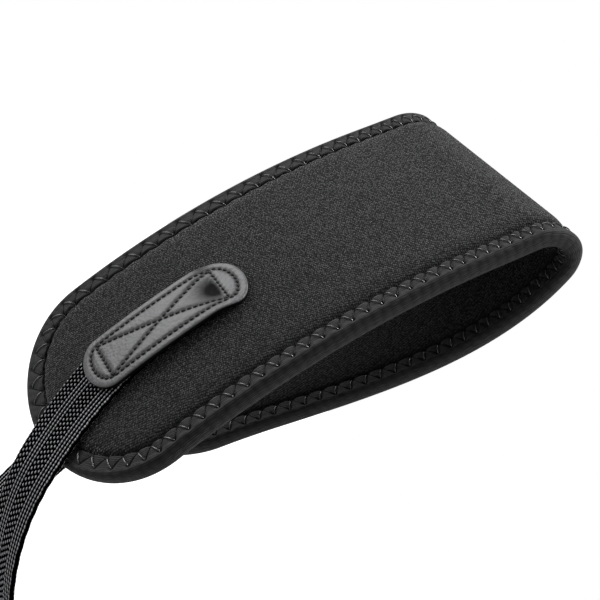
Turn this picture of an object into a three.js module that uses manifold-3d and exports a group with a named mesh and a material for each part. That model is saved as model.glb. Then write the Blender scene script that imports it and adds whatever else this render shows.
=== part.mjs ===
// Camera neck strap, shaped as it is worn: a bound neoprene pad with a leather tab at each end,
// which holds a flat webbing that runs down to a loop for the camera's strap ring.
// Millimetres, +Z up. X runs across the strap, the front end hangs towards -Y and the rear one
// towards +Y. The origin is on the pad's underside, at the top of the ridge that it turns over.

import * as THREE from 'three';
import { mergeVertices } from 'three/addons/utils/BufferGeometryUtils.js';
import Module from 'manifold-3d';

const wasm = await Module();
wasm.setup();

// Space between pieces that touch on the real strap
const gap = 0.3;

// Neoprene pad, measured flat and over its binding, and how much of it hangs in front
const padLength = 250;
const padFront = 129;
const padWidth = 64;
const padThickness = 5;
const capLength = 24;
const capPower = 2;
const padCapSteps = 10;

// Binding tape folded round the pad's edge
const tapeWall = 1;
const tapeCover = 5;
const tapeHeight = 4.6;
const tapeRound = 1.3;
const tapeRoundInset = 0.4;
const tapeRoundHeight = 1.7;
const puffWidth = 4;
const puffStart = 4.2;

// Webbing
const webbingWidth = 16;
const webbingThickness = 1.3;
const webbingEase = 0.4;
const webbingEnd = 48;
const webbingDrop = 300;
const frontDrift = 32;
const rearDrift = 0;
const driftLength = 103;
const driftFromEnd = 35;
const curlRun = 25;
const hangRun = 85;

// Leather tab, a pill over the end of the webbing
const tabLength = 41.2;
const tabWidth = 16.2;
const tabCap = 5.5;
const tabCapSteps = 7;
const tabThickness = 1.3;
const tabFromEnd = 17.4;
const tabAside = 1;
const tabEdgeRound = 0.8;
const tabStep = 8;

// Loop at the foot of the webbing, and the flat seat in it for the camera's strap ring
const loopLength = 26;
const loopWidth = 9;
const seatLength = 4;
const tailLength = 22;
const legSteps = 6;
const bendSteps = 5;

// Moulded slider that closes the loop
const sliderHeight = 16;
const sliderBar = 2;
const sliderEndBar = 2.8;
const sliderRail = 2.2;
const sliderSlotSpare = 0.8;

// Side view: length over which the strap turns at the top of the ridge, towards the front
// and towards the rear, and its slope below the horizontal as it goes
const ridgeFront = 12;
const ridgeRear = 7.5;
const padRear = padLength - padFront;
const frontSide = padFront - ridgeFront;
const rearSide = padRear - ridgeRear;
const frontSlopes = [
  { at: 0, slope: 0 },
  { at: 0.55 * ridgeFront, slope: 38 },
  { at: ridgeFront, slope: 66 },
  { at: ridgeFront + 0.1 * frontSide, slope: 65.5 },
  { at: ridgeFront + 0.76 * frontSide, slope: 85.5 },
  { at: padFront, slope: 94 },
  { at: padFront + curlRun, slope: 132 },
  { at: padFront + hangRun, slope: 90 },
];
const rearSlopes = [
  { at: 0, slope: 0 },
  { at: 0.45 * ridgeRear, slope: 38 },
  { at: ridgeRear, slope: 77 },
  { at: ridgeRear + 0.3 * rearSide, slope: 87 },
  { at: ridgeRear + 0.65 * rearSide, slope: 97 },
  { at: padRear, slope: 98 },
  { at: padRear + curlRun, slope: 84 },
  { at: padRear + hangRun, slope: 90 },
];

// Rear half from the front: how far it leans aside, and the length over which it does so
const rearLean = -38;
const leanStart = 6;
const leanRun = 120;

// How finely the side view is stepped: most turn and most length between two stations
const stepTurn = 11;
const stepLength = 9;
const walkStep = 0.05;

// Colours and finishes
const knitLook = { color: 0x2b2b2e, roughness: 0.92, metalness: 0 };
const tapeLook = { color: 0x232326, roughness: 0.85, metalness: 0 };
const leatherLook = { color: 0x38383b, roughness: 0.5, metalness: 0 };
const webbingLook = { color: 0x1b1b1d, roughness: 0.6, metalness: 0 };
const plasticLook = { color: 0x151516, roughness: 0.45, metalness: 0 };

// Slope below the horizontal at a length from the ridge, read from a table and held past its end
function slopeAt(table, length) {
  const next = table.findIndex((row) => row.at > length);
  if (next < 0) return table[table.length - 1].slope;
  const from = table[next - 1];
  const to = table[next];
  return from.slope + ((to.slope - from.slope) * (length - from.at)) / (to.at - from.at);
}

// Walks one side of the side view in small steps and keeps every place on it
function walkSide(table, reach) {
  const places = [{ out: 0, down: 0, slope: 0 }];
  const steps = Math.ceil(reach / walkStep);
  for (let i = 1; i <= steps; i += 1) {
    const last = places[i - 1];
    const middle = THREE.MathUtils.degToRad(slopeAt(table, (i - 0.5) * walkStep));
    places.push({
      out: last.out + walkStep * Math.cos(middle),
      down: last.down + walkStep * Math.sin(middle),
      slope: THREE.MathUtils.degToRad(slopeAt(table, i * walkStep)),
    });
  }
  return places;
}

const wholeReach = padLength + webbingDrop;
const frontWalk = walkSide(frontSlopes, wholeReach);
const rearWalk = walkSide(rearSlopes, wholeReach);

const smooth = (t) => THREE.MathUtils.smoothstep(t, 0, 1);
const leanAt = (s) => rearLean * smooth((-s - leanStart) / leanRun);

// Point of the strap: s along it from the ridge (front +, rear -), x across, n out of the
// middle of the pad's thickness
function place(s, x, n) {
  const walk = s >= 0 ? frontWalk : rearWalk;
  const side = s >= 0 ? 1 : -1;
  const steps = Math.abs(s) / walkStep;
  const i = Math.min(Math.floor(steps), walk.length - 2);
  const t = steps - i;
  const out = THREE.MathUtils.lerp(walk[i].out, walk[i + 1].out, t);
  const down = THREE.MathUtils.lerp(walk[i].down, walk[i + 1].down, t);
  const slope = THREE.MathUtils.lerp(walk[i].slope, walk[i + 1].slope, t);
  const y = -side * (out + n * Math.sin(slope));
  const z = padThickness / 2 - down + n * Math.cos(slope);
  return new THREE.Vector3(x + leanAt(s), y, z);
}

// Stations from one length to another, closer together where the strap turns
function stationsBetween(start, end, longest = stepLength) {
  const turnOf = (s) => (s >= 0 ? slopeAt(frontSlopes, s) : -slopeAt(rearSlopes, -s));
  const list = [start];
  for (let s = start; s < end; s += walkStep) {
    const last = list[list.length - 1];
    const turned = Math.abs(turnOf(s) - turnOf(last)) >= stepTurn;
    if (turned || s - last >= longest) list.push(s);
  }
  if (end - list[list.length - 1] < longest / 3 && list.length > 1) list.pop();
  list.push(end);
  return list;
}

// Closed outline with two straight sides and a rounded cap at each end, set in from its edge.
// It goes round from the middle of the rear cap, and point i mirrors point (count - i) in x.
function outline({ start, end, width, cap, power, capSteps, stations }, inset) {
  const right = [];
  const addCap = (centre, direction) => {
    for (let i = 0; i <= capSteps; i += 1) {
      const angle = (Math.PI / 2) * (1 - i / capSteps);
      const c = Math.cos(angle);
      const d = Math.sin(angle);
      const x = (width / 2) * c ** (2 / power);
      const s = cap * d ** (2 / power);
      const nx = c ** (2 - 2 / power) / (width / 2);
      const ns = d ** (2 - 2 / power) / cap;
      const size = Math.hypot(nx, ns);
      const point = { x: x - (inset * nx) / size, s: centre + direction * (s - (inset * ns) / size) };
      if (i === 0) point.x = 0;
      right.push(point);
    }
  };
  addCap(start + cap, -1);
  for (const s of stations.slice(1, -1)) right.push({ x: width / 2 - inset, s });
  const frontCap = right.length;
  addCap(end - cap, 1);
  right.push(...right.splice(frontCap).reverse());
  const left = right.slice(1, -1).reverse().map(({ x, s }) => ({ x: -x, s }));
  return [...right, ...left];
}

// Mesh from points and quads or triangles given by their numbers
function meshFrom(points, faces) {
  const geometry = new THREE.BufferGeometry();
  const numbers = points.flatMap((p) => [p.x, p.y, p.z]);
  geometry.setAttribute('position', new THREE.Float32BufferAttribute(numbers, 3));
  const corners = faces.flatMap(([a, b, c, d]) => (d === undefined ? [a, b, c] : [a, b, c, a, c, d]));
  geometry.setIndex(corners);
  geometry.computeVertexNormals();
  return geometry;
}

// Faces between two closed rings of equal count, whose first points are numbers a and b
function ringFaces(a, b, count) {
  return Array.from({ length: count }, (_, i) => {
    const j = (i + 1) % count;
    return [a + i, a + j, b + j, b + i];
  });
}

// Slab that follows the strap. Its edge profile is a list of insets from the outline and heights,
// from the top's middle over the edge to the underside. Lift raises it at each length, and aside
// is how far it sits off the strap's middle.
function slab(shape, profile, lift, side = 1, aside = 0) {
  const points = [];
  let count = 0;
  for (const { inset, height } of profile) {
    const ring = outline(shape, inset);
    count = ring.length;
    points.push(...ring.map(({ x, s }) => place(side * s, side * (x + aside), height + lift(s))));
  }
  const faces = profile.slice(1).flatMap((_, k) => ringFaces(k * count, (k + 1) * count, count));
  const half = count / 2;
  const under = (profile.length - 1) * count;
  for (let i = 1; i < half - 1; i += 1) {
    faces.push([i, count - i, count - i - 1, i + 1]);
    faces.push([under + i, under + i + 1, under + count - i - 1, under + count - i]);
  }
  faces.push([0, count - 1, 1], [half - 1, half + 1, half]);
  faces.push([under, under + 1, under + count - 1], [under + half - 1, under + half, under + half + 1]);
  return meshFrom(points, faces);
}

const noLift = () => 0;

const padShape = {
  start: -padRear,
  end: padFront,
  width: padWidth,
  cap: capLength,
  power: capPower,
  capSteps: padCapSteps,
  stations: stationsBetween(capLength - padRear, padFront - capLength),
};

// Neoprene pad: thin where the tape grips it, then up to its whole thickness
function neckPad() {
  const edge = tapeWall + gap;
  const gripped = tapeHeight / 2 - tapeWall - gap;
  const shoulder = tapeCover + gap;
  const top = [
    { inset: shoulder + puffWidth, height: padThickness / 2 },
    { inset: shoulder, height: puffStart / 2 },
    { inset: shoulder, height: gripped },
    { inset: edge, height: gripped },
  ];
  const under = [...top].reverse().map(({ inset, height }) => ({ inset, height: -height }));
  return slab(padShape, [...top, ...under], noLift);
}

// Binding: a U section carried once round the pad's outline, rounded outside
function edgeBinding() {
  const rise = tapeHeight / 2;
  const section = [
    { inset: tapeCover, height: rise - tapeWall },
    { inset: tapeCover, height: rise },
    { inset: tapeRound, height: rise },
    { inset: tapeRoundInset, height: tapeRoundHeight },
    { inset: 0, height: 0 },
    { inset: tapeRoundInset, height: -tapeRoundHeight },
    { inset: tapeRound, height: -rise },
    { inset: tapeCover, height: -rise },
    { inset: tapeCover, height: tapeWall - rise },
    { inset: tapeWall, height: tapeWall - rise },
    { inset: tapeWall, height: rise - tapeWall },
  ];
  const points = [];
  let count = 0;
  for (const { inset, height } of section) {
    const ring = outline(padShape, inset);
    count = ring.length;
    points.push(...ring.map(({ x, s }) => place(s, x, height)));
  }
  const rings = section.length;
  const faces = section.flatMap((_, k) => ringFaces(k * count, ((k + 1) % rings) * count, count));
  return meshFrom(points, faces);
}

// Levels above the middle of the pad's thickness: the webbing lies on the pad, the tab on it
const webbingLevel = padThickness / 2 + gap + webbingThickness / 2;
const tabLow = padThickness / 2 + gap;
const tabHigh = webbingLevel + webbingThickness / 2 + gap;

// Leather tab: it steps down past the end of the webbing, onto the pad
function leatherTab({ side, reach }) {
  const end = reach - tabFromEnd;
  const start = end - tabLength;
  const foot = reach - webbingEnd - gap - tabStep;
  const roundInset = tabEdgeRound / 4;
  const roundHeight = tabThickness - tabEdgeRound / 3;
  const shape = {
    start,
    end,
    width: tabWidth,
    cap: tabCap,
    power: 2,
    capSteps: tabCapSteps,
    stations: stationsBetween(start + tabCap, end - tabCap, tabStep / 4),
  };
  const lift = (s) => tabLow + (tabHigh - tabLow) * smooth((s - foot) / tabStep);
  const profile = [
    { inset: tabEdgeRound, height: tabThickness },
    { inset: roundInset, height: roundHeight },
    { inset: 0, height: tabThickness / 2 },
    { inset: roundInset, height: 0 },
  ];
  return slab(shape, profile, lift, side, tabAside);
}

// Place of the slider's middle along the strap, the level of the loop's middle, and how far
// sideways the webbing has strayed at a length
const layerPitch = webbingThickness + gap;
const loopLevel = webbingLevel + layerPitch / 2;
const sliderAt = (reach) => reach + webbingDrop - loopLength - sliderHeight / 2;
const driftAt = ({ reach, drift }, s) => drift * smooth((s - reach + driftFromEnd) / driftLength);

// Middle line of the webbing as lengths s and levels n: from under the tab down to the loop,
// round its flat seat and back up through the slider to the free tail
function webbingPath(reach) {
  const bend = (loopWidth - seatLength) / 2;
  const loopFoot = reach + webbingDrop;
  const loopTop = loopFoot - loopLength;
  const legEnd = loopFoot - bend;
  const halfAt = (t) => layerPitch / 2 + ((loopWidth - layerPitch) / 2) * smooth(t);
  const down = stationsBetween(reach - webbingEnd, loopTop).map((s) => ({ s, n: webbingLevel }));
  const rightHalf = [];
  for (let i = 1; i <= legSteps; i += 1) {
    const t = i / legSteps;
    rightHalf.push({ s: THREE.MathUtils.lerp(loopTop, legEnd, t), off: halfAt(t) });
  }
  for (let i = 1; i <= bendSteps; i += 1) {
    const angle = (Math.PI / 2) * (i / bendSteps);
    const off = seatLength / 2 + bend * Math.cos(angle);
    rightHalf.push({ s: legEnd + bend * Math.sin(angle), off });
  }
  const near = rightHalf.map(({ s, off }) => ({ s, n: loopLevel - off }));
  const far = [...rightHalf].reverse().map(({ s, off }) => ({ s, n: loopLevel + off }));
  const tailEnd = sliderAt(reach) - sliderHeight / 2 - tailLength;
  const up = [loopTop, tailEnd].map((s) => ({ s, n: webbingLevel + layerPitch }));
  return [...down, ...near, ...far, ...up];
}

// Webbing: a flat section with eased edges along its middle line
function webbing(end) {
  const { side, reach } = end;
  const path = webbingPath(reach);
  const halfThick = webbingThickness / 2;
  const halfWide = webbingWidth / 2;
  const section = [
    { x: halfWide, up: 0 },
    { x: halfWide - webbingEase, up: halfThick },
    { x: webbingEase - halfWide, up: halfThick },
    { x: -halfWide, up: 0 },
    { x: webbingEase - halfWide, up: -halfThick },
    { x: halfWide - webbingEase, up: -halfThick },
  ];
  const points = [];
  path.forEach(({ s, n }, i) => {
    const before = path[Math.max(i - 1, 0)];
    const after = path[Math.min(i + 1, path.length - 1)];
    const first = new THREE.Vector2(s - before.s, n - before.n).normalize();
    const second = new THREE.Vector2(after.s - s, after.n - n).normalize();
    const along = first.clone().add(second).normalize();
    const turn = i === 0 || i === path.length - 1 ? 1 : first.dot(along);
    for (const { x, up } of section) {
      const rise = up / turn;
      const across = x + driftAt(end, s);
      points.push(place(side * (s - rise * along.y), side * across, n + rise * along.x));
    }
  });
  const count = section.length;
  const rings = path.length;
  const last = (rings - 1) * count;
  const faces = [];
  for (let k = 0; k < rings - 1; k += 1) faces.push(...ringFaces(k * count, (k + 1) * count, count));
  for (let i = 1; i < count - 1; i += 1) {
    faces.push([0, i + 1, i]);
    faces.push([last, last + i, last + i + 1]);
  }
  return meshFrom(points, faces);
}

// Box as a solid for joining, given by its lowest and highest corners
function solidBox(low, high) {
  const size = new THREE.Vector3().subVectors(high, low);
  const box = new THREE.BoxGeometry(size.x, size.y, size.z);
  const middle = new THREE.Vector3().addVectors(low, high).multiplyScalar(0.5);
  box.translate(middle.x, middle.y, middle.z);
  box.deleteAttribute('normal');
  box.deleteAttribute('uv');
  const merged = mergeVertices(box);
  return new wasm.Manifold(new wasm.Mesh({
    numProp: 3,
    vertProperties: new Float32Array(merged.attributes.position.array),
    triVerts: new Uint32Array(merged.index.array),
  }));
}

// Slider: two side rails, a bar in front of the webbing at the top and at the bottom, and a
// middle bar behind it. Both layers of webbing run straight between the bars.
function slider(end) {
  const { side, reach } = end;
  const slotHalf = webbingWidth / 2 + sliderSlotSpare;
  const outer = slotHalf + sliderRail;
  const layers = layerPitch / 2 + webbingThickness / 2 + gap;
  const depth = layers + sliderBar;
  const tall = sliderHeight / 2;
  const box = (x0, x1, n0, n1, up0, up1) =>
    solidBox(new THREE.Vector3(x0, -n1, up0), new THREE.Vector3(x1, -n0, up1));
  const pieces = [
    box(-outer, -slotHalf, -depth, depth, -tall, tall),
    box(slotHalf, outer, -depth, depth, -tall, tall),
    box(-outer, outer, layers, depth, tall - sliderEndBar, tall),
    box(-outer, outer, layers, depth, -tall, sliderEndBar - tall),
    box(-outer, outer, -depth, -layers, -sliderBar, sliderBar),
  ];
  const joined = pieces.reduce((whole, piece) => whole.add(piece)).getMesh();
  const geometry = new THREE.BufferGeometry();
  geometry.setAttribute('position', new THREE.BufferAttribute(new Float32Array(joined.vertProperties), 3));
  geometry.setIndex(new THREE.BufferAttribute(new Uint32Array(joined.triVerts), 1));
  geometry.computeVertexNormals();
  const mesh = new THREE.Mesh(geometry, new THREE.MeshStandardMaterial(plasticLook));
  const middle = sliderAt(reach);
  mesh.position.copy(place(side * middle, side * driftAt(end, middle), loopLevel));
  if (side < 0) mesh.rotation.z = Math.PI;
  return mesh;
}

const strap = new THREE.Group();

function add(name, geometry, look) {
  const mesh = new THREE.Mesh(geometry, new THREE.MeshStandardMaterial(look));
  mesh.name = name;
  strap.add(mesh);
}

add('neck_pad', neckPad(), knitLook);
add('edge_binding', edgeBinding(), tapeLook);
const ends = [
  { name: 'front', side: 1, reach: padFront, drift: frontDrift },
  { name: 'rear', side: -1, reach: padRear, drift: rearDrift },
];
for (const end of ends) {
  add(`tab_${end.name}`, leatherTab(end), leatherLook);
  add(`webbing_${end.name}`, webbing(end), webbingLook);
  const glide = slider(end);
  glide.name = `slider_${end.name}`;
  strap.add(glide);
}

export default strap;
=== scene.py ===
# Camera neck strap as it is worn: a bound pad with leather tabs, webbing and sliders.
# Metres. The strap has coordinates of its own: s along it from the ridge it hangs over, front
# positive, x across it, and n out of the middle of the pad's thickness.
import bmesh
import bpy
import numpy as np
from mathutils import Matrix, Vector


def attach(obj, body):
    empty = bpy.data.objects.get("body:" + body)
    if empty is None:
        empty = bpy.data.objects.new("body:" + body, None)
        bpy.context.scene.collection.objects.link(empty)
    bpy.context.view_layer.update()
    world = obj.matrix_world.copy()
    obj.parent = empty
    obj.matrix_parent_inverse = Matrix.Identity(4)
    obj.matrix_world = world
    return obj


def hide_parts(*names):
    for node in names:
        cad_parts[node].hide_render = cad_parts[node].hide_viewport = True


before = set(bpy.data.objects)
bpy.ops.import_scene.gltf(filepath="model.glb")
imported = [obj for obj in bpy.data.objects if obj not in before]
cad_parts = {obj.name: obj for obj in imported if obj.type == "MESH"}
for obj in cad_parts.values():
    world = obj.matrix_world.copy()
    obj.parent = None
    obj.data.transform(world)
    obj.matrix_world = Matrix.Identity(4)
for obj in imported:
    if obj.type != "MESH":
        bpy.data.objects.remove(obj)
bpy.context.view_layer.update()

# Neck pad
# A strip of foam rubber with a knitted face on both sides, cut with rounded ends. It turns over
# the ridge it hangs on, puffs up beside its binding, and is pinched where the zigzag pulls it.
mm = 0.001
gap = 0.3 * mm
pad_length = 250 * mm
pad_front = 129 * mm
pad_rear = pad_length - pad_front
pad_width = 64 * mm
pad_thickness = 5 * mm
cap_length = 24 * mm
cap_power = 2
tape_wall = 1 * mm
tape_cover = 5 * mm
tape_height = 4.6 * mm
puff_start = 4.2 * mm
puff_width = 4 * mm
shoulder_width = 0.9 * mm
dimple_depth = 0.6 * mm
dimple_width = 1.3 * mm
dimple_start = 0.6 * mm
crease_width = 1.1 * mm
ridge_front = 12 * mm
ridge_rear = 7.5 * mm
curl_run = 25 * mm
hang_run = 85 * mm
front_side = pad_front - ridge_front
rear_side = pad_rear - ridge_rear
front_slopes = [
    (0, 0),
    (0.55 * ridge_front, 38),
    (ridge_front, 66),
    (ridge_front + 0.1 * front_side, 65.5),
    (ridge_front + 0.76 * front_side, 85.5),
    (pad_front, 94),
    (pad_front + curl_run, 132),
    (pad_front + hang_run, 90),
]
rear_slopes = [
    (0, 0),
    (0.45 * ridge_rear, 38),
    (ridge_rear, 77),
    (ridge_rear + 0.3 * rear_side, 87),
    (ridge_rear + 0.65 * rear_side, 97),
    (pad_rear, 98),
    (pad_rear + curl_run, 84),
    (pad_rear + hang_run, 90),
]
rear_lean = -38 * mm
lean_start = 6 * mm
lean_run = 120 * mm
walk_step = 0.25 * mm
whole_reach = 600 * mm


def side_view(slopes):
    """One half seen from the side: the slope below the horizontal is read between the rows, and
    the way out and the way down are the running sums of its cosine and its sine."""
    length = np.arange(0, whole_reach, walk_step)
    at, slope = np.transpose(slopes)
    middle = np.radians(np.interp(length[1:] - walk_step / 2, at, slope))
    out = np.append(0, np.cumsum(np.cos(middle))) * walk_step
    down = np.append(0, np.cumsum(np.sin(middle))) * walk_step
    return length, out, down, np.radians(np.interp(length, at, slope))


front_view = side_view(front_slopes)
rear_view = side_view(rear_slopes)


def smooth(t):
    """Goes from 0 to 1 as t does, level at both ends: 3t^2 - 2t^3."""
    t = np.clip(t, 0, 1)
    return t * t * (3 - 2 * t)


def bell(distance, width):
    """Bell curve, 1 at no distance and 1/e at the width."""
    return np.exp(-((distance / width) ** 2))


def on_strap(s, x, n):
    """Points of the strap: the place at length |s| of its half, moved by n along the normal. The
    rear half leans aside on the way."""
    s, x, n = np.broadcast_arrays(s, x, n)
    side = np.where(s >= 0, 1.0, -1.0)
    run = np.abs(s)
    out, down, slope = (
        np.where(s >= 0, np.interp(run, front_view[0], front), np.interp(run, rear_view[0], rear))
        for front, rear in zip(front_view[1:], rear_view[1:])
    )
    y = -side * (out + n * np.sin(slope))
    z = pad_thickness / 2 - down + n * np.cos(slope)
    lean = rear_lean * smooth((-s - lean_start) / lean_run)
    return np.stack([x + lean, y, z], axis=-1)


# Edge of the pad: places and outward directions along one quarter of a cap, x = half width times
# cos^(2/p) and s = cap length times sin^(2/p), put together to the whole way round
quarter = np.linspace(0, np.pi / 2, 500)
quarter_cos = np.cos(quarter)
quarter_sin = np.sin(quarter)
quarter_s = cap_length * quarter_sin ** (2 / cap_power)
quarter_x = pad_width / 2 * quarter_cos ** (2 / cap_power)
lean_s = quarter_sin ** (2 - 2 / cap_power) / cap_length
lean_x = quarter_cos ** (2 - 2 / cap_power) / (pad_width / 2)
lean = np.hypot(lean_s, lean_x)
front_quarter = np.stack([pad_front - cap_length + quarter_s, quarter_x, lean_s / lean, lean_x / lean])
rear_quarter = np.stack([cap_length - pad_rear - quarter_s, quarter_x, -lean_s / lean, lean_x / lean])
straight_run = np.linspace(cap_length - pad_rear, pad_front - cap_length, 400)[1:-1]
level_run = np.zeros_like(straight_run)
side_run = np.stack([straight_run, level_run + pad_width / 2, level_run, level_run + 1])
right_edge = np.concatenate([rear_quarter[:, ::-1], side_run, front_quarter], axis=1)
left_edge = right_edge[:, ::-1] * np.array([[1], [-1], [1], [-1]])
whole_edge = np.concatenate([right_edge, left_edge], axis=1)
edge_steps = np.hypot(np.diff(whole_edge[0]), np.diff(whole_edge[1]))
edge_run = np.append(0, np.cumsum(edge_steps))
edge_length = edge_run[-1]


def inside_edge(run, inset):
    """Place (s, x) at a length round the pad's edge, moved in from it against its direction."""
    run = np.mod(run, edge_length * (1 + 1e-9))
    s, x, along, across = (np.interp(run, edge_run, row) for row in whole_edge)
    return s - inset * along, x - inset * across


def edge_distance(s, x, start, end, width, cap, power):
    """How far a place is inside an outline with rounded ends: (1 - r) over the size of r's slope,
    with r the end's own measure, (|x| / half width)^p + (s / cap)^p to the 1/p, 1 on the edge."""
    beyond = np.maximum(s - (end - cap), 0) + np.maximum(start + cap - s, 0)
    a = np.abs(x) / (width / 2)
    b = beyond / cap
    r = np.maximum((a**power + b**power) ** (1 / power), 1e-6)
    slope_x = (a / r) ** (power - 1) / (width / 2)
    slope_s = (b / r) ** (power - 1) / cap
    return (1 - r) / np.maximum(np.hypot(slope_x, slope_s), 1e-9)


def shell(name, points, cloth=None, masks=None):
    """Mesh over grids of points, stations by ring: a quad between each four neighbours. Equal
    points are merged, which closes seams and ends, and all faces are turned outwards."""
    grids = points.reshape((-1,) + points.shape[-3:])
    number = np.arange(grids[..., 0].size).reshape(grids.shape[:3])
    corners = np.stack(
        [number[:, :-1, :-1], number[:, 1:, :-1], number[:, 1:, 1:], number[:, :-1, 1:]], axis=-1
    ).reshape(-1, 4)
    mesh = bpy.data.meshes.new(name)
    mesh.from_pydata(grids.reshape(-1, 3).tolist(), [], corners.tolist())
    if cloth is not None:
        flat = np.broadcast_to(cloth, grids.shape[:3] + (2,)).reshape(-1, 2)
        layer = mesh.uv_layers.new(name="cloth")
        layer.data.foreach_set("uv", flat[corners.ravel()].ravel())
    for title, values in (masks or {}).items():
        layer = mesh.attributes.new(title, "FLOAT", "POINT")
        layer.data.foreach_set("value", np.broadcast_to(values, grids.shape[:3]).ravel())
    body = bmesh.new()
    body.from_mesh(mesh)
    bmesh.ops.remove_doubles(body, verts=body.verts, dist=0.001 * mm)
    bmesh.ops.recalc_face_normals(body, faces=body.faces)
    body.to_mesh(mesh)
    body.free()
    mesh.polygons.foreach_set("use_smooth", np.ones(len(mesh.polygons), dtype=bool))
    mesh.update()
    piece = bpy.data.objects.new(name, mesh)
    bpy.context.collection.objects.link(piece)
    return piece


def ring_of(top, under):
    """Closed ring of points at each station: over the top, back along the underside, and home."""
    return np.concatenate([top, under[..., ::-1, :], top[..., :1, :]], axis=-2)


# Needle holes of the zigzag, in pairs round the pad: an outer one, then an inner one. The stitches
# are long round the ends, close where the tape is eased over the ridge, and a little closer on
# the right side than on the left.
zigzag_outer = 1.9 * mm
zigzag_inner = 4.9 * mm
end_pitch = 5.4 * mm
side_pitch = 4.3 * mm
side_spread = 0.57 * mm
ridge_pitch = 2.6 * mm
end_run = 30 * mm
ridge_run = 36 * mm
from_end = np.minimum(pad_front - whole_edge[0], pad_rear + whole_edge[0])
along_side = side_pitch - side_spread * whole_edge[1] / (pad_width / 2)
seam_pitch = end_pitch + (along_side - end_pitch) * smooth(from_end / end_run)
seam_pitch = seam_pitch - (along_side - ridge_pitch) * bell(whole_edge[0], ridge_run)
beats = np.append(0, np.cumsum(edge_steps / (seam_pitch[1:] + seam_pitch[:-1]) * 2))
zigzag_count = int(round(beats[-1]))
beats = beats * zigzag_count / beats[-1]
inner_runs = np.interp(np.arange(zigzag_count) + 0.5, beats, edge_run)
inner_holes = np.stack(inside_edge(inner_runs, zigzag_inner), axis=-1)

pad_edge = tape_wall + gap
pad_gripped = tape_height / 2 - tape_wall - gap


def nearest(s, x, places):
    """Distance from each place of the strap to the closest of some others."""
    return np.hypot(s[..., None] - places[:, 0], x[..., None] - places[:, 1]).min(axis=-1)


def pad_level(s, x):
    """Height of the pad's face over its middle: thin in the tape, a round shoulder just past the
    tape, then up to its whole thickness, less a dimple at each inner needle hole."""
    inset = edge_distance(s, x, -pad_rear, pad_front, pad_width, cap_length, cap_power)
    past_tape = inset - tape_cover
    shoulder = pad_gripped + (puff_start / 2 - pad_gripped) * smooth(past_tape / shoulder_width)
    crown = (pad_thickness - puff_start) / 2 * smooth(past_tape / (puff_width + gap))
    to_hole = nearest(s, x, inner_holes)
    dimple = dimple_depth * bell(to_hole, dimple_width) * smooth(past_tape / dimple_start)
    return shoulder + crown - dimple


cap_turn = np.linspace(0, np.pi / 2, 46)
cap_reach = cap_length - pad_edge
cap_s = cap_reach * np.sin(cap_turn)
cap_half = (pad_width / 2 - pad_edge) * (1 - np.sin(cap_turn) ** cap_power).clip(0) ** (1 / cap_power)
straight_s = np.arange(cap_length - pad_rear, pad_front - cap_length, 1 * mm)[1:]
pad_s = np.concatenate([cap_length - pad_rear - cap_s[::-1], straight_s, pad_front - cap_length + cap_s])
straight_half = np.full(len(straight_s), cap_half[0])
pad_half = np.concatenate([cap_half[::-1], straight_half, cap_half])
spread = np.sin(np.linspace(-np.pi / 2, np.pi / 2, 87))
pad_x = pad_half[:, None] * spread
pad_along = np.broadcast_to(pad_s[:, None], pad_x.shape)
pad_n = pad_level(pad_along, pad_x)
pad_points = ring_of(on_strap(pad_along, pad_x, pad_n), on_strap(pad_along, pad_x, -pad_n))
pad_cloth = np.stack([pad_x, pad_along], axis=-1) / mm
pad_inset = edge_distance(pad_along, pad_x, -pad_rear, pad_front, pad_width, cap_length, cap_power)
# Painted shade: the face turns near black in the narrow band where it dips into the tape.
crease_shade = 1 - smooth((pad_inset - tape_cover - gap) / crease_width)[..., None]
crease_shade_mask = ring_of(crease_shade, crease_shade)[..., 0]
neck_pad = shell("knitted_pad", pad_points, ring_of(pad_cloth, pad_cloth), {"crease_shade": crease_shade_mask})


def add_node(tree, kind, feeds=None, **settings):
    """Adds a shader node with its settings; feeds gives inputs their values or what they read."""
    made = tree.nodes.new("ShaderNode" + kind)
    for key, value in settings.items():
        setattr(made, key, value)
    for key, value in (feeds or {}).items():
        if isinstance(value, bpy.types.NodeSocket):
            tree.links.new(value, made.inputs[key])
        else:
            made.inputs[key].default_value = value
    return made


def calc(tree, operation, *terms):
    """Output of a maths node over values or other outputs."""
    return add_node(tree, "Math", dict(enumerate(terms)), operation=operation).outputs[0]


def blend_colour(tree, share, low, high):
    """Colour between two others by a share, each a colour or an output."""
    mix = add_node(tree, "Mix", {0: share, 6: low, 7: high}, data_type="RGBA")
    return mix.outputs[2]


def finish_of(name, roughness, specular=0.5, sheen=0.0):
    """New material with its shader: (material, tree, shader)."""
    material = bpy.data.materials.new(name)
    material.use_nodes = True
    tree = material.node_tree
    shader = tree.nodes["Principled BSDF"]
    shader.inputs["Roughness"].default_value = roughness
    shader.inputs["Specular IOR Level"].default_value = specular
    shader.inputs["Sheen Weight"].default_value = sheen
    return material, tree, shader


def grey(level):
    """Neutral colour with a touch of blue, as dyed black cloth has."""
    return (level * 0.97, level * 0.985, level * 1.03, 1)


# Flecks: oval grains on a loose lattice of one unit, each with a lightness of its own
flecks = bpy.data.node_groups.new("flecks", "ShaderNodeTree")
flecks.interface.new_socket("Vector", in_out="INPUT", socket_type="NodeSocketVector")
flecks.interface.new_socket("Looseness", in_out="INPUT", socket_type="NodeSocketFloat")
flecks.interface.new_socket("Height", in_out="OUTPUT", socket_type="NodeSocketFloat")
flecks.interface.new_socket("Shade", in_out="OUTPUT", socket_type="NodeSocketFloat")
flecks_in = flecks.nodes.new("NodeGroupInput").outputs
flecks_out = flecks.nodes.new("NodeGroupOutput").inputs
cells_read = {"Vector": flecks_in["Vector"], "Scale": 1.0, "Randomness": flecks_in["Looseness"]}
cells = add_node(flecks, "TexVoronoi", cells_read)
crown = calc(flecks, "SUBTRACT", 1.0, calc(flecks, "MULTIPLY", cells.outputs["Distance"], 1.5))
crown = calc(flecks, "MAXIMUM", crown, 0.0)
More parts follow.
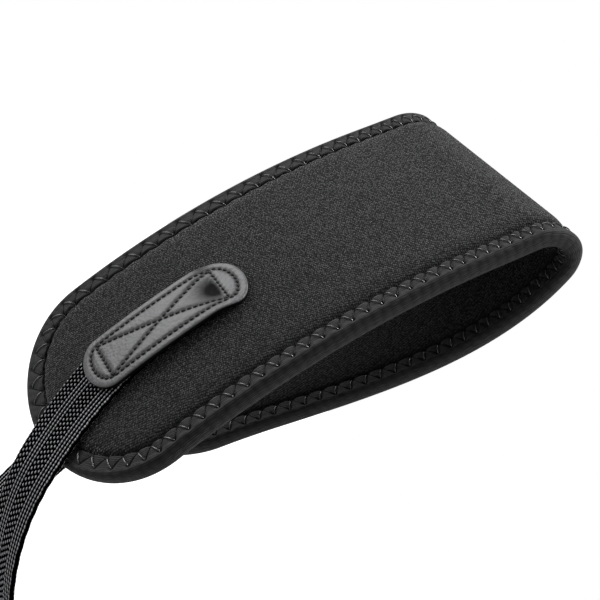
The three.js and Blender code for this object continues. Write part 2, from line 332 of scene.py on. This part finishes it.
lightness = add_node(flecks, "SeparateColor", {0: cells.outputs["Color"]}).outputs[0]
lightness = calc(flecks, "MULTIPLY_ADD", lightness, 0.26, 0.78)
flecks.links.new(crown, flecks_out["Height"])
flecks.links.new(calc(flecks, "MULTIPLY", crown, lightness), flecks_out["Shade"])


def cloth_flecks(tree, size, turn, looseness):
    """Flecks on the piece's own cloth map, in ovals of a size in millimetres, turned by degrees."""
    cloth = add_node(tree, "UVMap", uv_map="cloth").outputs[0]
    turned = add_node(tree, "Mapping", {"Vector": cloth, "Rotation": (0, 0, np.radians(turn))})
    scaled = add_node(
        tree, "Mapping", {"Vector": turned.outputs[0], "Scale": (1 / size[0], 1 / size[1], 1)}
    )
    group = add_node(tree, "Group", node_tree=flecks)
    tree.links.new(scaled.outputs[0], group.inputs["Vector"])
    group.inputs["Looseness"].default_value = looseness
    return group.outputs


def raise_surface(tree, shader, height, depth, strength=1.0):
    """Bump of a depth in metres into the shader's normal."""
    bump = add_node(tree, "Bump", {"Height": height, "Distance": depth, "Strength": strength})
    tree.links.new(bump.outputs[0], shader.inputs["Normal"])


# Knit: short oval loops in wales that run across the strap, a little turned, dark in between
knit, tree, shader = finish_of("charcoal_knit", roughness=0.8, specular=0.12)
shader.inputs["Sheen Roughness"].default_value = 0.35
loops = cloth_flecks(tree, size=(0.6, 0.4), turn=-20, looseness=0.42)
light = calc(tree, "POWER", loops["Shade"], 1.4)
tree.links.new(calc(tree, "MULTIPLY_ADD", light, 0.8, 0.06), shader.inputs["Sheen Weight"])
tone = blend_colour(tree, light, grey(0.0005), grey(0.073))
# Painted shade: the knit is blended to near black where the face dips into the tape.
in_crease_shade = add_node(tree, "Attribute", attribute_name="crease_shade").outputs["Fac"]
tree.links.new(blend_colour(tree, in_crease_shade, tone, grey(0.008)), shader.inputs["Base Color"])
raise_surface(tree, shader, loops["Height"], 0.24 * mm)
neck_pad.data.materials.append(knit)
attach(neck_pad, "root")
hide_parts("neck_pad")

# Edge binding
# A soft woven tape folded round the pad's whole edge. The zigzag seam that holds it presses a
# trough into it, so that it rolls up outside the seam and puffs a little between the stitches.
tape_steps = 10
tape_beats = np.linspace(0, zigzag_count, zigzag_count * tape_steps + 1)
tape_runs = np.interp(tape_beats, beats, edge_run)
tape_roll = 1.5 * mm
tape_power = 2.3
tape_lip = 0.25 * mm
trough_depth = 0.22 * mm
trough_start = 1.2 * mm
trough_width = 1.4 * mm
groove_depth = 0.16 * mm
groove_width = 0.45 * mm
groove_slant = 0.62
pit_depth = 0.5 * mm
outer_pit = 0.55 * mm
inner_pit = 0.75 * mm
roll_end = 1.1 * mm
roll_fade = 0.8 * mm


def zigzag_inset(run):
    """Inset of the zigzag at a length round the edge: a triangle wave between its two holes."""
    phase = np.abs(np.mod(np.interp(run, edge_run, beats), 1.0) * 2 - 1)
    return zigzag_inner + (zigzag_outer - zigzag_inner) * phase


def tape_level(run, inset):
    """Height of the tape's outside over the pad's middle: a half round outside the seam, then a
    flat trough, with a groove along each stitch and a pit at each needle hole."""
    rise = tape_height / 2
    round_part = np.clip(1 - inset / tape_roll, 0, 1)
    level = rise * (1 - round_part**tape_power) ** (1 / tape_power)
    level = level - trough_depth * smooth((inset - trough_start) / trough_width)
    off_stitch = (inset - zigzag_inset(run)) * groove_slant
    groove = groove_depth * bell(off_stitch, groove_width)
    phase = np.mod(np.interp(run, edge_run, beats), 1.0)
    pitch = np.interp(run, edge_run, seam_pitch)
    to_outer = np.minimum(phase, 1 - phase) * pitch
    to_inner = np.abs(phase - 0.5) * pitch
    pit = bell(np.hypot(to_outer, inset - zigzag_outer), outer_pit)
    pit = pit + bell(np.hypot(to_inner, inset - zigzag_inner), inner_pit)
    return level - (groove + pit_depth * pit) * smooth((inset - roll_end) / roll_fade)


outside = tape_roll * (1 - np.cos(np.linspace(0, np.pi / 2, 9)))
flat_inset = np.linspace(tape_roll, tape_cover - 0.15 * mm, 12)[1:]
tape_inset = np.concatenate([outside, flat_inset, [tape_cover]])
run_grid, inset_grid = np.meshgrid(tape_runs, tape_inset, indexing="ij")
tape_top = tape_level(run_grid, inset_grid)
tape_top[:, -1] -= tape_lip
wall_inset = np.linspace(tape_cover, tape_wall, 5)
wall_rise = tape_height / 2 - tape_wall
tape_s, tape_x = inside_edge(run_grid, inset_grid)
wall_run, wall_grid = np.meshgrid(tape_runs, wall_inset, indexing="ij")
wall_s, wall_x = inside_edge(wall_run, wall_grid)
tape_rings = np.concatenate(
    [
        on_strap(tape_s, tape_x, tape_top)[:, ::-1],
        on_strap(tape_s, tape_x, -tape_top)[:, 1:],
        on_strap(wall_s, wall_x, -wall_rise),
        on_strap(wall_s, wall_x, wall_rise)[:, ::-1],
        on_strap(tape_s[:, -1:], tape_x[:, -1:], tape_top[:, -1:]),
    ],
    axis=1,
)
ring_steps = np.linalg.norm(np.diff(tape_rings, axis=1), axis=2).mean(axis=0)
across_tape = np.append(0, np.cumsum(ring_steps))
tape_cloth = np.stack(np.broadcast_arrays(tape_runs[:, None], across_tape), axis=-1) / mm
binding = shell("binding_tape", tape_rings, tape_cloth)

# The tape's own ribs: long threads that follow the edge
tape, tree, shader = finish_of("black_tape", roughness=0.7, specular=0.25, sheen=0.08)
threads = cloth_flecks(tree, size=(2.4, 0.46), turn=0, looseness=0.35)
tone = blend_colour(tree, threads["Shade"], grey(0.002), grey(0.019))
tree.links.new(tone, shader.inputs["Base Color"])
raise_surface(tree, shader, threads["Height"], 0.14 * mm)
binding.data.materials.append(tape)
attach(binding, "root")
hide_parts("edge_binding")

# Zigzag seam
# One polyester thread on each face of the strap, which goes from hole to hole over the tape and
# dives into the foam at each. Strokes of one slant stand proud, those of the other are sunk.
thread_radius = 0.17 * mm
thread_dive = 0.5 * mm


def strap_tubes(s, x, n, radius, sides=6):
    """Round tubes along paths of strap places: rings of even points in the plane across the path,
    spanned by the strap's normal and the direction square to both."""
    path = on_strap(s, x, n)
    along = np.gradient(path, axis=-2)
    along /= np.linalg.norm(along, axis=-1, keepdims=True)
    up = on_strap(s, x, n + mm) - path
    across = np.cross(along, up)
    across /= np.linalg.norm(across, axis=-1, keepdims=True)
    up = np.cross(across, along)
    angle = np.linspace(0, 2 * np.pi, sides + 1)[:, None]
    spoke = across[..., None, :] * np.cos(angle) + up[..., None, :] * np.sin(angle)
    return path[..., None, :] + spoke * np.broadcast_to(radius, s.shape)[..., None, None]


stroke = np.linspace(0, 1, 9)
stroke_beats = (np.arange(2 * zigzag_count)[:, None] + stroke) / 2
stroke_runs = np.interp(stroke_beats, beats, edge_run)
stroke_inset = zigzag_inner + (zigzag_outer - zigzag_inner) * np.abs(np.mod(stroke_beats, 1.0) * 2 - 1)
stroke_s, stroke_x = inside_edge(stroke_runs, stroke_inset)
proud = np.tile([1.0, 0.0], zigzag_count)[:, None]
lift = (0.04 + 0.18 * proud) * mm + (0.02 + 0.1 * proud) * mm * np.sin(np.pi * stroke)
stroke_n = tape_level(stroke_runs, stroke_inset) + lift
stroke_n = np.where((stroke == 0) | (stroke == 1), stroke_n - thread_dive, stroke_n)
over_under = [strap_tubes(stroke_s, stroke_x, face * stroke_n, thread_radius) for face in (1, -1)]
# The same share colours the thread: a painted glint on proud strokes, painted shade on sunk ones.
proud_lit_mask = np.tile(proud, (2, 1))[..., None]
zigzag = shell("zigzag_thread", np.concatenate(over_under), masks={"proud": proud_lit_mask})

thread, tree, shader = finish_of("polyester_thread", roughness=0.24)
# Painted light: sunk strokes are painted darker and duller as shade, proud ones lighter and shinier as a
# glint.
proud_lit = add_node(tree, "Attribute", attribute_name="proud").outputs["Fac"]
tree.links.new(blend_colour(tree, proud_lit, grey(0.006), grey(0.03)), shader.inputs["Base Color"])
shine = calc(tree, "MULTIPLY_ADD", proud_lit, 0.9, 0.1)
tree.links.new(shine, shader.inputs["Specular IOR Level"])
coordinate = add_node(tree, "TexCoord").outputs["Object"]
ply = add_node(tree, "TexNoise", {"Vector": coordinate, "Scale": 5000.0, "Detail": 1.0})
raise_surface(tree, shader, ply.outputs[0], 0.03 * mm)
zigzag.data.materials.append(thread)
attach(zigzag, "root")

# Leather tabs
# A pill of smooth leather over the end of each webbing, cut raw and sewn down through the pad.
# It steps down off the webbing's end at its upper end, and is pulled in along every seam.
webbing_thickness = 1.3 * mm
webbing_end = 48 * mm
tab_length = 41.2 * mm
tab_width = 16.2 * mm
tab_cap = 5.5 * mm
tab_thickness = 1.3 * mm
tab_from_end = 17.4 * mm
tab_aside = 1 * mm
tab_step = 8 * mm
tab_round = 0.7 * mm
tab_wall = 0.6
tab_seam_inset = 2.2 * mm
tab_box_top = 6 * mm
tab_box_foot = 5.2 * mm
tab_box_half = 5.6 * mm
tab_puff = 0.18 * mm
seam_depth = 0.28 * mm
seam_width = 0.66 * mm
hole_depth = 0.22 * mm
hole_width = 0.4 * mm
hollow_place = 33.9 * mm
hollow_aside = 0.8 * mm
hollow_depth = 0.9 * mm
hollow_start = 1.2 * mm
hollow_long = 4.8 * mm
hollow_wide = 4.4 * mm
# Spot by the box's upper left corner, painted darker as shade where the hollow reaches the edge
corner_shade_below = 1.6 * mm
corner_shade_aside = -7.2 * mm
corner_shade_long = 2.4 * mm
corner_shade_wide = 1 * mm
stitch_pitch = 1.4 * mm
stitch_length = 1.16 * mm
stitch_radius = 0.34 * mm
webbing_level = pad_thickness / 2 + gap + webbing_thickness / 2
tab_low = pad_thickness / 2 + gap
tab_high = webbing_level + webbing_thickness / 2 + gap
ends = [("front", 1, pad_front), ("rear", -1, pad_rear)]


def tab_span(reach):
    """Where a tab starts and ends along its half, and where it steps down off the webbing."""
    end = reach - tab_from_end
    return end - tab_length, end, reach - webbing_end - gap - tab_step


def seam_paths(start, end):
    """Seams of a tab as runs of (s, x) corners: round inside its edge, across at both ends of the
    box, and crosswise from corner to corner of it."""
    radius = tab_width / 2 - tab_seam_inset
    bow = tab_cap - tab_seam_inset
    turn = np.linspace(0, np.pi, 25)
    upper = np.stack([start + tab_cap - bow * np.sin(turn), -radius * np.cos(turn)], axis=-1)
    lower = np.stack([end - tab_cap + bow * np.sin(turn), radius * np.cos(turn)], axis=-1)
    low, high = start + tab_box_top, end - tab_box_foot
    corners = {
        "upper_left": (low, -tab_box_half),
        "upper_right": (low, tab_box_half),
        "lower_left": (high, -tab_box_half),
        "lower_right": (high, tab_box_half),
    }
    lines = [
        ("upper_left", "upper_right"),
        ("lower_left", "lower_right"),
        ("upper_left", "lower_right"),
        ("upper_right", "lower_left"),
    ]
    around = np.concatenate([upper, lower, upper[:1]])
    return [around] + [np.array([corners[a], corners[b]]) for a, b in lines]


def along_seam(path):
    """Middles and directions of the stitches along a run of corners, evenly spaced."""
    run = np.append(0, np.cumsum(np.hypot(*np.diff(path, axis=0).T)))
    count = int(round(run[-1] / stitch_pitch))
    ends_at = np.linspace(0, run[-1], count + 1)
    marks = np.stack([np.interp(ends_at, run, path[:, k]) for k in (0, 1)], axis=-1)
    return (marks[1:] + marks[:-1]) / 2, marks[1:] - marks[:-1], marks


def tab_seams(reach):
    """All stitches of a tab: middles, directions and needle holes."""
    start, end, _ = tab_span(reach)
    parts = [along_seam(path) for path in seam_paths(start, end)]
    return [np.concatenate(part) for part in zip(*parts)]


def tab_pinch(s, x, reach):
    """Hollow below the box's upper seam, where the leather goes down off the webbing's end: a
    bell curve each way, cut off at the seam."""
    start, end, _ = tab_span(reach)
    below = smooth((s - start - tab_box_top) / hollow_start)
    return below * bell(s - end + hollow_place, hollow_long) * bell(x - hollow_aside, hollow_wide)


def tab_top(s, x, reach):
    """Height of a tab's face: its underside's step and its thickness, rounded at the cut edge,
    less the troughs that the seams pull into it, deepest at the needle holes."""
    start, end, foot = tab_span(reach)
    inset = edge_distance(s, x, start, end, tab_width, tab_cap, 2).clip(0)
    base = tab_low + (tab_high - tab_low) * smooth((s - foot) / tab_step)
    edge = tab_wall + (1 - tab_wall) * np.sqrt(1 - (1 - np.clip(inset / tab_round, 0, 1)) ** 2)
    centres, _, holes = tab_seams(reach)
    trough = seam_depth * bell(nearest(s, x, centres), seam_width)
    trough = trough + hole_depth * bell(nearest(s, x, holes), hole_width)
    dip = hollow_depth * tab_pinch(s, x, reach)
    puff = tab_puff * smooth((inset - 0.3 * mm) / (2 * mm))
    return base, tab_thickness * edge + (puff - trough - dip) * smooth(inset / tab_round)


tab_turn = np.linspace(0, np.pi / 2, 34)
tab_spread = np.sin(np.linspace(-np.pi / 2, np.pi / 2, 75))
leather, tree, shader = finish_of("satin_leather", roughness=0.46, specular=0.55)
coordinate = add_node(tree, "TexCoord").outputs["Object"]
pores = add_node(tree, "TexVoronoi", {"Vector": coordinate, "Scale": 1500.0}, feature="SMOOTH_F1")
creases = add_node(tree, "TexNoise", {"Vector": coordinate, "Scale": 420.0, "Detail": 4.0})
# Where this mask is high the leather is painted near black with its shine cut: painted shade at the
# seams, the hollow and the spot beside it, and the raw edge's own dark colour.
shade_and_raw_edge = add_node(tree, "Attribute", attribute_name="seam").outputs["Fac"]
tone = blend_colour(tree, creases.outputs[0], grey(0.035), grey(0.115))
tree.links.new(blend_colour(tree, shade_and_raw_edge, tone, grey(0.006)), shader.inputs["Base Color"])
shine = calc(tree, "MULTIPLY_ADD", shade_and_raw_edge, -0.53, 0.55)
tree.links.new(shine, shader.inputs["Specular IOR Level"])
grain = calc(tree, "MULTIPLY_ADD", creases.outputs[0], 0.8, pores.outputs["Distance"])
raise_surface(tree, shader, grain, 0.08 * mm)

seam_thread, tree, shader = finish_of("waxed_thread", roughness=0.5, specular=0.3)
shader.inputs["Base Color"].default_value = grey(0.006)
coordinate = add_node(tree, "TexCoord").outputs["Object"]
ply = add_node(tree, "TexNoise", {"Vector": coordinate, "Scale": 4000.0, "Detail": 1.0})
raise_surface(tree, shader, ply.outputs[0], 0.04 * mm)

for end_name, side, reach in ends:
    start, end, foot = tab_span(reach)
    cap = tab_cap * np.sin(tab_turn)
    cap_wide = tab_width / 2 * np.cos(tab_turn)
    straight = np.arange(start + tab_cap, end - tab_cap, 0.3 * mm)[1:]
    tab_s = np.concatenate([start + tab_cap - cap[::-1], straight, end - tab_cap + cap])
    tab_half = np.concatenate([cap_wide[::-1], np.full(len(straight), tab_width / 2), cap_wide])
    x = tab_half[:, None] * tab_spread
    s = np.broadcast_to(tab_s[:, None], x.shape)
    base, rise = tab_top(s, x, reach)
    inset = edge_distance(s, x, start, end, tab_width, tab_cap, 2).clip(0)
    tuck = tab_wall * tab_thickness * (1 - np.sqrt(1 - (1 - np.clip(inset / (0.3 * mm), 0, 1)) ** 2))
    upper = on_strap(side * s, side * (x + tab_aside), base + rise)
    lower = on_strap(side * s, side * (x + tab_aside), base + tuck)
    centres, steps, _ = tab_seams(reach)

    # The leather is painted darker and duller along its seams, in the hollow, and at a spot by the box's
    # upper left corner where the hollow reaches the edge: painted shade. Its raw edge is dark in its own
    # colour, and its underside is dark all over.
    cut_edge = 1 - smooth(inset / (0.2 * mm))
    hollow = np.minimum(1.25 * tab_pinch(s, x, reach), 1)
    from_corner = s - start - tab_box_top - corner_shade_below
    corner_shade = 0.75 * bell(from_corner, corner_shade_long) * bell(x - corner_shade_aside, corner_shade_wide)
    shades = [bell(nearest(s, x, centres), 0.58 * mm), hollow, cut_edge, corner_shade]
    darkening = np.maximum.reduce(shades)[..., None]
    shade_and_raw_edge_mask = ring_of(darkening, np.ones_like(darkening))[..., 0]
    tab = shell(f"leather_tab_{end_name}", ring_of(upper, lower), masks={"seam": shade_and_raw_edge_mask})
    tab.data.materials.append(leather)
    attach(tab, "root")
    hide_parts(f"tab_{end_name}")

    # Stitches: short capsules that dive into the leather at both ends, and the same seams as
    # they come out on the underside of the pad
    share = np.linspace(-0.5, 0.5, 9)
    length = stitch_length / np.hypot(*steps.T)[:, None]
    stitch_s = centres[:, :1] + steps[:, :1] * length * share
    stitch_x = centres[:, 1:] + steps[:, 1:] * length * share
    fat = stitch_radius * np.sqrt(1 - (2 * share) ** 2)
    base, rise = tab_top(stitch_s, stitch_x, reach)
    arch = 0.05 * mm - 0.14 * mm * (2 * share) ** 2
    stitch_x = side * (stitch_x + tab_aside)
    on_leather = strap_tubes(side * stitch_s, stitch_x, base + rise + arch, fat)
    under_pad = strap_tubes(side * stitch_s, stitch_x, -pad_thickness / 2 - arch / 2, fat)
    seam = shell(f"tab_stitches_{end_name}", np.concatenate([on_leather, under_pad]))
    seam.data.materials.append(seam_thread)
    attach(seam, "root")

# Webbing
# Flat nylon webbing, woven in stripes: twill stripes of slanting rows between stripes of ribs.
# It runs from under the tab down to a loop for the camera's ring and back up through the slider.
webbing_width = 16 * mm
webbing_drop = 300 * mm
front_drift = 32 * mm
rear_drift = 0 * mm
drift_length = 103 * mm
drift_from_end = 35 * mm
loop_length = 26 * mm
loop_width = 9 * mm
seat_length = 4 * mm
tail_length = 22 * mm
slider_height = 16 * mm
layer_pitch = webbing_thickness + gap
loop_level = webbing_level + layer_pitch / 2
twill_pitch = 1.11 * mm
rib_pitch = 0.8 * mm
twill_slant = 0.66
twill_crown = (0.31, 0.34)
rib_crown = (0.25, 0.62)
fine_length = 92 * mm
fine_step = 0.24 * mm
coarse_step = 1.2 * mm
relief = 0.22 * mm
relief_rest = 0.7
relief_fade = 10 * mm
relief_end = 12 * mm

# Stripes from the left selvedge: how many columns of yarn, their width, and their weave
twill_width = 1 * mm
rib_width = 1.15 * mm
stripes = [(4, twill_width), (3, rib_width), (4, twill_width), (4, rib_width)]
column_edges = np.append(0, np.cumsum(np.concatenate([np.full(*stripe) for stripe in stripes])))
column_edges = column_edges * webbing_width / column_edges[-1] - webbing_width / 2
columns = len(column_edges) - 1
twill_stripes = [(0, 4), (7, 11)]


def webbing_path(reach):
    """Middle line of a webbing as lengths s and levels n: down to the loop, out to its width,
    round two quarter bends with a flat seat between them, and back up to the tail."""
    bend = (loop_width - seat_length) / 2
    loop_foot = reach + webbing_drop
    loop_top = loop_foot - loop_length
    leg_end = loop_foot - bend
    fine = np.arange(reach - webbing_end, reach - webbing_end + fine_length, fine_step)
    coarse = np.arange(fine[-1] + fine_step, loop_top, coarse_step)
    leg = np.linspace(0, 1, 22)
    leg_s = loop_top + (leg_end - loop_top) * leg
    leg_off = layer_pitch / 2 + (loop_width - layer_pitch) / 2 * smooth(leg)
    turn = np.linspace(0, np.pi / 2, 9)[1:]
    half_s = np.concatenate([leg_s, leg_end + bend * np.sin(turn)])
    half_off = np.concatenate([leg_off, seat_length / 2 + bend * np.cos(turn)])
    tail_end = loop_foot - loop_length - slider_height - tail_length
    tail = np.arange(loop_top - coarse_step, tail_end, -coarse_step)
    down = np.concatenate([fine, coarse])
    s = np.concatenate([down, half_s, half_s[::-1], tail])
    flat = [np.full(len(down), webbing_level), loop_level - half_off, loop_level + half_off[::-1]]
    n = np.concatenate(flat + [np.full(len(tail), webbing_level + layer_pitch)])
    return s, n


def weave_crowns(at, run):
    """Tops of the yarns, 0 to 1: in each column an oval dome, the root of 1 less its squared
    distance, at an even pitch. Each twill column is shifted on by the slant, ribs by a half."""
    column = np.clip(np.floor(at), 0, columns - 1)
    twill = np.zeros_like(column)
    for first, last in twill_stripes:
        twill = np.where((column >= first) & (column < last), 1.0, twill)
    pitch = np.where(twill > 0, twill_pitch, rib_pitch)
    shift = np.where(twill > 0, twill_slant, 0.5) * column
    beat = np.mod(run / pitch + shift, 1.0) - 0.5
    half, reach = (rib + (own - rib) * twill for own, rib in zip(twill_crown, rib_crown))
    off = np.hypot((at - column - 0.5) / half, beat / reach)
    return np.sqrt(1 - np.clip(off, 0, 1) ** 2)


# Nylon: black, the crowns of its yarns painted light grey between black gaps, a painted highlight for
# their glint. Its map holds the column across and millimetres along.
webbing_look, tree, shader = finish_of("black_nylon", roughness=0.3)
cloth = add_node(tree, "UVMap", uv_map="cloth").outputs[0]
woven = add_node(tree, "SeparateXYZ", {0: cloth}).outputs
column = calc(tree, "FLOOR", woven["X"])
twill = 0.0
for first, last in twill_stripes:
    above = calc(tree, "GREATER_THAN", woven["X"], float(first))
    below = calc(tree, "LESS_THAN", woven["X"], float(last))
    twill = calc(tree, "MAXIMUM", calc(tree, "MULTIPLY", above, below), twill)
density = calc(tree, "MULTIPLY_ADD", twill, mm / twill_pitch - mm / rib_pitch, mm / rib_pitch)
shift = calc(tree, "MULTIPLY", calc(tree, "MULTIPLY_ADD", twill, twill_slant - 0.5, 0.5), column)
beat = calc(tree, "FRACT", calc(tree, "MULTIPLY_ADD", woven["Y"], density, shift))
half, reach = (
    calc(tree, "MULTIPLY_ADD", twill, own - rib, rib) for own, rib in zip(twill_crown, rib_crown)
)
beat = calc(tree, "DIVIDE", calc(tree, "SUBTRACT", beat, 0.5), reach)
aside = calc(tree, "DIVIDE", calc(tree, "SUBTRACT", calc(tree, "FRACT", woven["X"]), 0.5), half)
off = calc(tree, "ADD", calc(tree, "MULTIPLY", beat, beat), calc(tree, "MULTIPLY", aside, aside))
off = calc(tree, "SQRT", off)
tops_and_glint = add_node(
    tree, "MapRange", {"Value": off, "From Min": 1.0, "From Max": 0.0}, interpolation_type="SMOOTHSTEP"
).outputs[0]
# Painted highlight: the yarn crowns are painted light grey on the black nylon, standing in for their
# glint.
tree.links.new(blend_colour(tree, tops_and_glint, grey(0.0005), grey(0.6)), shader.inputs["Base Color"])
tree.links.new(calc(tree, "MULTIPLY", tops_and_glint, 0.5), shader.inputs["Specular IOR Level"])
raise_surface(tree, shader, tops_and_glint, 0.1 * mm)

# Each webbing is one loft along its path, with a wavy right selvedge
selvedge_round = 0.45 * mm
selvedge_wave = 0.2 * mm
selvedge_pitch = 3.2 * mm
drifts = {"front": front_drift, "rear": rear_drift}
for end_name, side, reach in ends:
    path_s, path_n = webbing_path(reach)
    run = np.append(0, np.cumsum(np.hypot(np.diff(path_s), np.diff(path_n))))
    back = np.gradient(path_s, run)
    rise = np.gradient(path_n, run)
    size = np.hypot(back, rise)
    back, rise = (back / size)[:, None], (rise / size)[:, None]
    past_end = path_s[:, None] - reach
    drift = drifts[end_name] * smooth((past_end + drift_from_end) / drift_length)
    fade = (1 - smooth((run - fine_length + relief_end) / relief_fade))[:, None]
    points, cloth_map = [], []
    for sign, steps in ((1, 5), (-1, 2)):
        at = np.linspace(0, columns, steps * columns + 1)
        line = np.interp(at, np.arange(columns + 1), column_edges)
        to_edge = np.clip((webbing_width / 2 - np.abs(line)) / selvedge_round, 0, 1)
        ease = np.sqrt(1 - (1 - to_edge) ** 2)
        crowns = weave_crowns(*np.broadcast_arrays(at, run[:, None]))
        height = ease * (webbing_thickness / 2 + (crowns - relief_rest) * relief * fade * (sign > 0))
        wave = selvedge_wave * np.sin(2 * np.pi * run[:, None] / selvedge_pitch) * fade
        line = line + wave * smooth((line - webbing_width / 2 + 1 * mm) / (1 * mm))
        s = path_s[:, None] - sign * height * rise
        n = path_n[:, None] + sign * height * back
        points.append(on_strap(side * s, side * (line + drift), n))
        cloth_map.append(np.stack(np.broadcast_arrays(at, run[:, None] / mm), axis=-1))
    rings = ring_of(*points)
    ring_cloth = ring_of(*cloth_map)
    middles = rings[[0, -1]].mean(axis=1, keepdims=True)
    caps = np.repeat(middles, rings.shape[1], axis=1)
    whole = np.concatenate([caps[:1], rings, caps[1:]])
    whole_cloth = np.concatenate([ring_cloth[:1], ring_cloth, ring_cloth[-1:]])
    webbing = shell(f"woven_webbing_{end_name}", whole, whole_cloth)
    webbing.data.materials.append(webbing_look)
    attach(webbing, "root")
    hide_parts(f"webbing_{end_name}")

# Sliders
# A moulded plastic slider closes each loop: two rails, a bar across the front at the top and at
# the bottom, and one across the back. Its edges are rounded by the mould.
slider_edge = 0.6 * mm
moulded, tree, shader = finish_of("moulded_plastic", roughness=0.42, specular=0.5)
shader.inputs["Base Color"].default_value = grey(0.012)
coordinate = add_node(tree, "TexCoord").outputs["Object"]
spark = add_node(tree, "TexNoise", {"Vector": coordinate, "Scale": 2500.0, "Detail": 2.0})
raise_surface(tree, shader, spark.outputs[0], 0.03 * mm)
for end_name, _, _ in ends:
    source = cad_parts[f"slider_{end_name}"]
    body = bmesh.new()
    body.from_mesh(source.data)
    body.transform(source.matrix_world)
    bmesh.ops.remove_doubles(body, verts=body.verts, dist=0.005 * mm)
    bmesh.ops.dissolve_limit(body, angle_limit=np.radians(2), verts=body.verts, edges=body.edges)
    mesh = bpy.data.meshes.new(f"moulded_slider_{end_name}")
    body.to_mesh(mesh)
    body.free()
    slider = bpy.data.objects.new(f"moulded_slider_{end_name}", mesh)
    bpy.context.collection.objects.link(slider)
    rounding = slider.modifiers.new("rounding", "BEVEL")
    rounding.width = slider_edge
    rounding.segments = 4
    rounding.limit_method = "ANGLE"
    mesh.polygons.foreach_set("use_smooth", np.ones(len(mesh.polygons), dtype=bool))
    slider.data.materials.append(moulded)
    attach(slider, "root")
    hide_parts(f"slider_{end_name}")

# Floor, light and camera
# A pale floor well below the hanging strap, an even white surround, daylight from above, and one
# broad soft light whose reflection lies on the leather as in the picture.
floor_level = -0.45
bpy.ops.mesh.primitive_circle_add(vertices=96, radius=9, fill_type="NGON", location=(0, 0, floor_level))
floor = bpy.context.object
floor.name = "floor"
pale, tree, shader = finish_of("pale_floor", roughness=0.9, specular=0.1)
in_view = add_node(tree, "LightPath").outputs["Is Camera Ray"]
floor_tone = blend_colour(tree, in_view, (0.3, 0.3, 0.3, 1), (0.96, 0.96, 0.96, 1))
tree.links.new(floor_tone, shader.inputs["Base Color"])
floor.data.materials.append(pale)

scene = bpy.context.scene
scene.view_settings.view_transform = "Standard"
world = bpy.data.worlds.new("white_room")
scene.world = world
world.use_nodes = True
tree = world.node_tree
tree.nodes.clear()
seen = add_node(tree, "LightPath").outputs["Is Camera Ray"]
room = add_node(tree, "Background", {"Color": (1, 1, 1, 1), "Strength": 0.17})
backdrop = add_node(tree, "Background", {"Color": (1, 1, 1, 1), "Strength": 1.0})
mix = add_node(tree, "MixShader", {0: seen, 1: room.outputs[0], 2: backdrop.outputs[0]})
add_node(tree, "OutputWorld", {"Surface": mix.outputs[0]})

daylight = bpy.data.lights.new("daylight", "SUN")
daylight.energy = 4.6
daylight.angle = np.radians(30)
daylight_lamp = bpy.data.objects.new("daylight", daylight)
scene.collection.objects.link(daylight_lamp)


def soft_light(name, direction, distance, size, power):
    """Square area light at a distance in a direction from the pad, facing the pad."""
    light = bpy.data.lights.new(name, "AREA")
    light.energy = power
    light.size = size
    lamp = bpy.data.objects.new(name, light)
    toward = Vector(direction).normalized()
    lamp.location = Vector((0, 0, -0.06)) + toward * distance
    lamp.rotation_euler = toward.to_track_quat("Z", "Y").to_euler()
    scene.collection.objects.link(lamp)


soft_light("window", (-0.72, -0.66, 0.23), 0.8, 0.6, 5.6)
soft_light("fill", (0.5, 0.9, 0.4), 1.2, 0.8, 5.0)

camera_place = Vector((204.7, -211.7, -52.25)) * mm
camera_azimuth = np.radians(45.93)
camera_roll = np.radians(49.39)
lens = 72
camera = bpy.data.objects.new("camera", bpy.data.cameras.new("camera"))
camera.data.lens = lens
camera.data.sensor_width = 36
level = Matrix.Rotation(camera_azimuth, 3, "Z") @ Matrix.Rotation(np.pi / 2, 3, "X")
turned = level @ Matrix.Rotation(camera_roll, 3, "Z")
camera.matrix_world = Matrix.Translation(camera_place) @ turned.to_4x4()
camera.data.clip_start = 0.01
scene.collection.objects.link(camera)
scene.camera = camera
